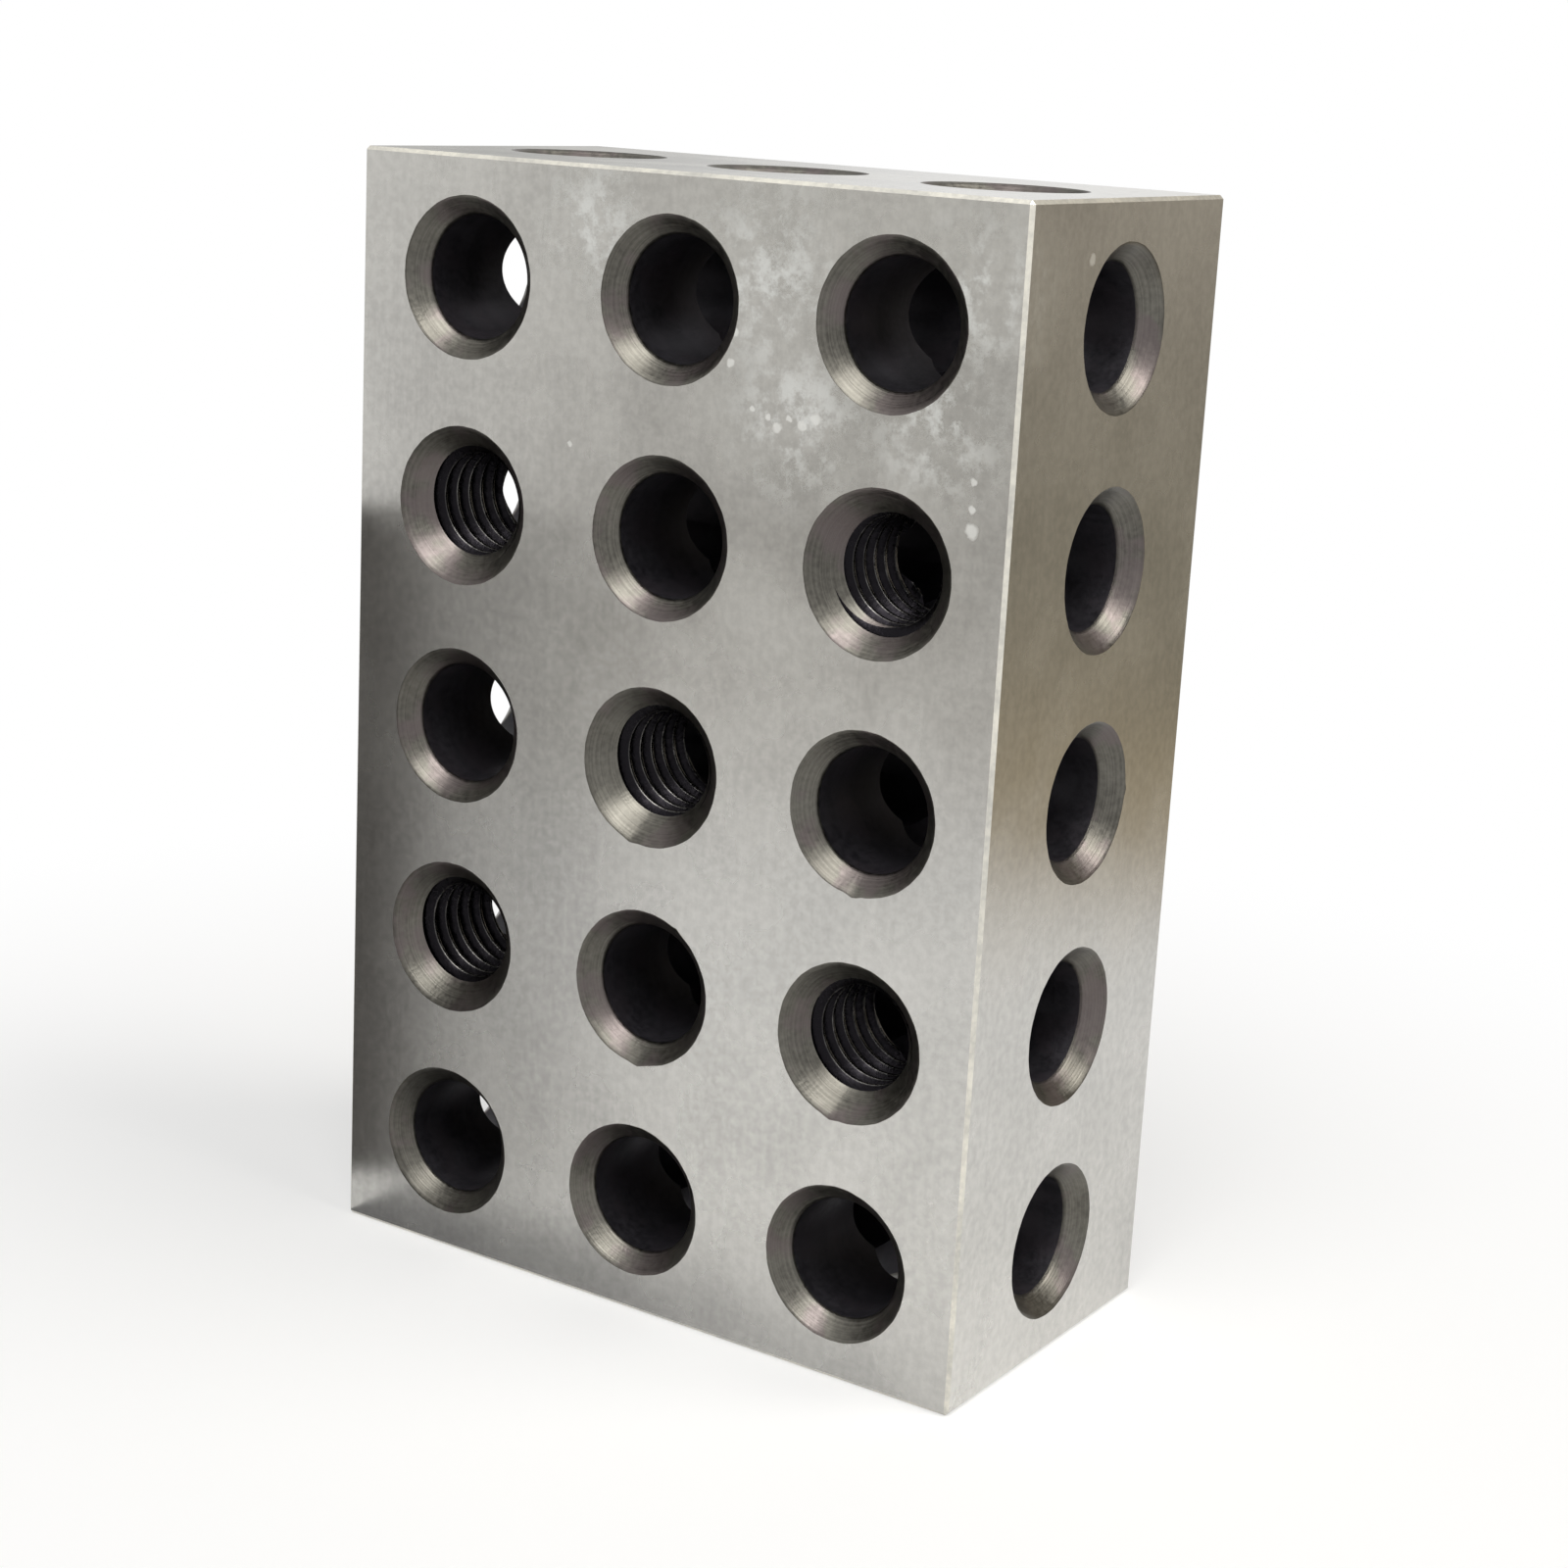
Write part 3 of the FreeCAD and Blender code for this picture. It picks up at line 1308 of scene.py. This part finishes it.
@dataclass(frozen=True)
class Studio:
    """The white floor, the even white surroundings, the lamps and the reflection cards.

    Attributes:
        near: Where the floor begins to fade to white.
        far: Where it is all white.
        least_white: How white it is close to the block, so that a shadow stays.
        fill: The even light from all round.
    """

    lamps: tuple[SoftBox, ...]
    sides: tuple[RoomSide, ...]
    shades: tuple[Neighbour | FootShade, ...]
    floor_size: float = 8.0
    floor_colour: Colour = (0.90, 0.90, 0.90)
    floor_roughness: float = 0.9
    near: float = 0.03
    far: float = 0.12
    least_white: float = 0.5
    fill: float = 0.06
    white: Colour = (1.0, 1.0, 1.0)

    def build(self, target: Vector, ground: float) -> None:
        """Sets up the world, the floor, the lamps and the cards.

        Args:
            target: The point that the lamps look at.
            ground: The height that the block stands on.
        """
        self.world()
        self.floor(target, ground)
        for lamp in self.lamps:
            lamp.build(target)
        for side in self.sides:
            side.build(target, ground)
        for shade in self.shades:
            shade.build()

    def background(self, graph: Graph) -> bpy.types.NodeSocket:
        """Says where the white background is seen: straight on, in gloss and through glass.

        Args:
            graph: The graph of the floor's or the world's material.

        Returns:
            1 for the rays that see it and 0 for the others.
        """
        rays = graph.add("ShaderNodeLightPath").outputs
        seen = graph.math("MAXIMUM", rays["Is Camera Ray"], rays["Is Glossy Ray"])
        return graph.math("MAXIMUM", seen, rays["Is Transmission Ray"])

    def world(self) -> None:
        """Makes the even light from all round, and the white behind everything."""
        world = bpy.data.worlds.new("studio")
        world.use_nodes = True
        world.node_tree.nodes.clear()
        graph = Graph(world.node_tree)
        strength = graph.math("MULTIPLY_ADD", self.background(graph), 1.0 - self.fill, self.fill)
        light = graph.add("ShaderNodeBackground", {"Color": graph.opaque(self.white), "Strength": strength})
        graph.add("ShaderNodeOutputWorld", {"Surface": light.outputs[0]})
        bpy.context.scene.world = world

    def floor(self, target: Vector, ground: float) -> None:
        """Lays a pale floor that fades to the white background away from the block.

        Args:
            target: The block's middle.
            ground: The height that the block stands on.
        """
        half = self.floor_size / 2
        corners = [(x * half, y * half, ground) for x, y in ((-1, -1), (1, -1), (1, 1), (-1, 1))]
        mesh = bpy.data.meshes.new("floor")
        mesh.from_pydata(corners, [], [(0, 1, 2, 3)])
        material, graph = blank_material("pale floor")
        away = graph.number("DISTANCE", graph.place(), (target.x, target.y, ground))
        fade = graph.math("MULTIPLY", graph.ramp(away, self.near, self.far, self.least_white),
                          self.background(graph))
        matt = graph.add("ShaderNodeBsdfPrincipled", {"Base Color": graph.opaque(self.floor_colour),
                                                      "Roughness": self.floor_roughness,
                                                      "Specular IOR Level": 0.2})
        white = graph.add("ShaderNodeEmission", {"Color": graph.opaque(self.white), "Strength": 1.0})
        both = graph.add("ShaderNodeMixShader", {0: fade, 1: matt.outputs[0], 2: white.outputs[0]})
        graph.add("ShaderNodeOutputMaterial", {"Surface": both.outputs[0]})
        mesh.materials.append(material)
        new_object("floor", mesh)


@dataclass(frozen=True)
class Viewpoint:
    """Where the camera stands, a little above the block and off its near corner.

    Attributes:
        place: Where the camera is.
        off: Where it looks, as seen from the block's middle.
        roll: How far it is turned about its own line of sight, in degrees.
        lens: Its focal length in millimetres.
        reach: The nearest and the farthest distance that it sees.
    """

    place: Vector
    off: Vector
    roll: float = 3.06
    lens: float = 66.0
    reach: tuple[float, float] = (0.01, 20.0)

    def build(self, centre: Vector) -> None:
        """Makes the camera and gives it to the scene.

        Args:
            centre: The block's middle.
        """
        camera = bpy.data.cameras.new("camera")
        camera.lens = self.lens
        camera.clip_start, camera.clip_end = self.reach
        made = new_object("camera", camera)
        made.location = self.place
        made.rotation_mode = "QUATERNION"
        look = (centre + self.off - self.place).to_track_quat("-Z", "Y")
        made.rotation_quaternion = look @ Matrix.Rotation(math.radians(self.roll), 3, "Z").to_quaternion()
        bpy.context.scene.camera = made


# ---------------------------------------------------------------------------
# The scene
# ---------------------------------------------------------------------------


def block_materials(face: float) -> list[bpy.types.Material]:
    """Makes the block's five materials.

    Args:
        face: Where the wide face lies along Y.

    Returns:
        The materials, in the order of Finish.
    """
    effects = {"patch": patch_effect(), "mottle": mottle_effect(), "rings": rings_effect()}
    flecks = (
        (6.7, 62.2, 0.30), (7.9, 61.8, 0.28), (8.6, 61.3, 0.42), (9.4, 61.9, 0.25), (10.4, 61.6, 0.38),
        (11.4, 62.1, 0.48), (22.8, 56.7, 0.55), (22.7, 58.0, 0.32), (22.7, 59.7, 0.26),
        (-7.4, 58.4, 0.26), (4.9, 64.9, 0.34), (5.2, 66.8, 0.30),
    )
    stains = ((22.0, 70.5, 7.0), (7.6, 70.0, 9.0), (20.0, 62.5, 7.0), (10.0, 62.0, 7.5), (-6.0, 72.5, 6.0))
    front = tuple(Spot(x * MM, face, z * MM, radius * MM) for x, z, radius in flecks)
    side = (Spot(25.4 * MM, -5.0 * MM, 72.6 * MM, 0.45 * MM),)
    film = tuple(Spot(x * MM, face, z * MM, radius * MM) for x, z, radius in stains)
    finishes = (
        GroundSteel(effects, front + side, film),
        EdgeSteel(effects),
        CutSteel(effects, "turned countersink", dark=(0.070, 0.066, 0.058), colour=(0.165, 0.158, 0.138),
                 tint=(0.135, 0.110, 0.112), roughness=0.36, metallic=1.0, rings=6.0, chatter=84.0,
                 depth=0.000012),
        CutSteel(effects, "scaled bore", dark=(0.014, 0.013, 0.017), colour=(0.050, 0.047, 0.056),
                 tint=(0.045, 0.038, 0.046), roughness=0.48, metallic=0.6, rings=2.0, chatter=24.0,
                 depth=0.00002),
        ThreadSteel(effects),
    )
    return [finish.build() for finish in finishes]


def rim_nicks() -> tuple[Nick, ...]:
    """Lists the nicks in the rims that are large enough to see.

    Returns:
        The nicks.
    """
    return (
        Nick("through_middle_right", -1, 6.1, 7.0, 0.22 * MM),
        Nick("through_lower_centre", -1, 6.0, 9.0, 0.20 * MM),
        Nick("through_lower_centre", -1, 1.0, 5.0, 0.15 * MM),
        Nick("tapped_lower_right", -1, 6.4, 8.0, 0.20 * MM),
        Nick("tapped_middle", -1, 6.5, 7.0, 0.15 * MM),
        Nick("side_middle", 1, 3.0, 6.0, 0.20 * MM),
    )


def white_studio(low: Vector, high: Vector) -> Studio:
    """Sets out the lamps and what the block's polish shows.

    Args:
        low: The block's lower corner.
        high: Its upper corner.

    Returns:
        The studio, not yet built.
    """
    lamps = (
        SoftBox("overhead_front", Vector((0.15, -0.50, 0.85)), (1.0, 0.99, 0.96)),
        SoftBox("overhead_back", Vector((0.62, 0.15, 0.77)), (1.0, 0.97, 0.92)),
    )
    sides = (
        RoomSide("room_front", heading=Vector((-0.139, -0.990, 0.0)), edge=(0.804, 0.870),
                 near=0.11, middle=0.20, far=0.30, near_colour=(0.66, 0.64, 0.60),
                 far_colour=(0.46, 0.45, 0.43), wall_colour=(0.75, 0.74, 0.71)),
        RoomSide("room_right", heading=Vector((0.50, 0.866, 0.0)), edge=(0.55, 0.80),
                 near=0.10, middle=0.15, far=0.26, near_colour=(0.48, 0.40, 0.27),
                 far_colour=(0.30, 0.27, 0.21), wall_colour=(0.42, 0.38, 0.32)),
        RoomSide("room_back", heading=Vector((-0.966, 0.259, 0.0)), edge=(0.682, 0.809),
                 near=0.30, middle=0.50, far=0.80, near_colour=(0.62, 0.62, 0.61),
                 far_colour=(0.50, 0.50, 0.49), wall_colour=(0.48, 0.48, 0.47)),
    )
    size = high - low
    run = Vector((-0.83, 0.56, 0.0)) * size.y
    close = Vector((-0.014, -0.030, low.z))
    shades = (
        Neighbour("neighbour_end", close - run * 0.3, close + run, size.x, (0.10, 0.095, 0.09)),
        FootShade("foot_shade", low, along=Vector((size.x, 0.0, 0.0)), out=Vector((0.0, -0.016, 0.0)),
                  colour=(0.12, 0.12, 0.125), strong=0.85, weak=0.25),
    )
    return Studio(lamps, sides, shades)


def main() -> None:
    """Builds the block, the studio and the camera."""
    logging.basicConfig(level=logging.INFO, format="%(name)s: %(message)s")
    low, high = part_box("block")
    centre = (low + high) / 2
    kinds = {kind.value for kind in HoleKind}
    mounts = [mount for mount in frame["record"]["mounts"] if mount["kind"] in kinds]
    holes = [Hole.from_mount(mount, high - low) for mount in mounts]
    block = SetupBlock(holes, Machining(rim_nicks(), block_materials(low.y))).build()
    triangles = sum(len(face.vertices) - 2 for face in block.data.polygons)
    log.info("%s: %d holes, %d triangles", block.name, len(holes), triangles)
    white_studio(low, high).build(centre, low.z)
    Viewpoint(Vector((0.1062, -0.1600, 0.0839)), Vector((0.0016, 0.0010, -0.0033))).build(centre)

    bpy.context.scene.view_settings.view_transform = "Standard"


if __name__ == "__main__":
    main()
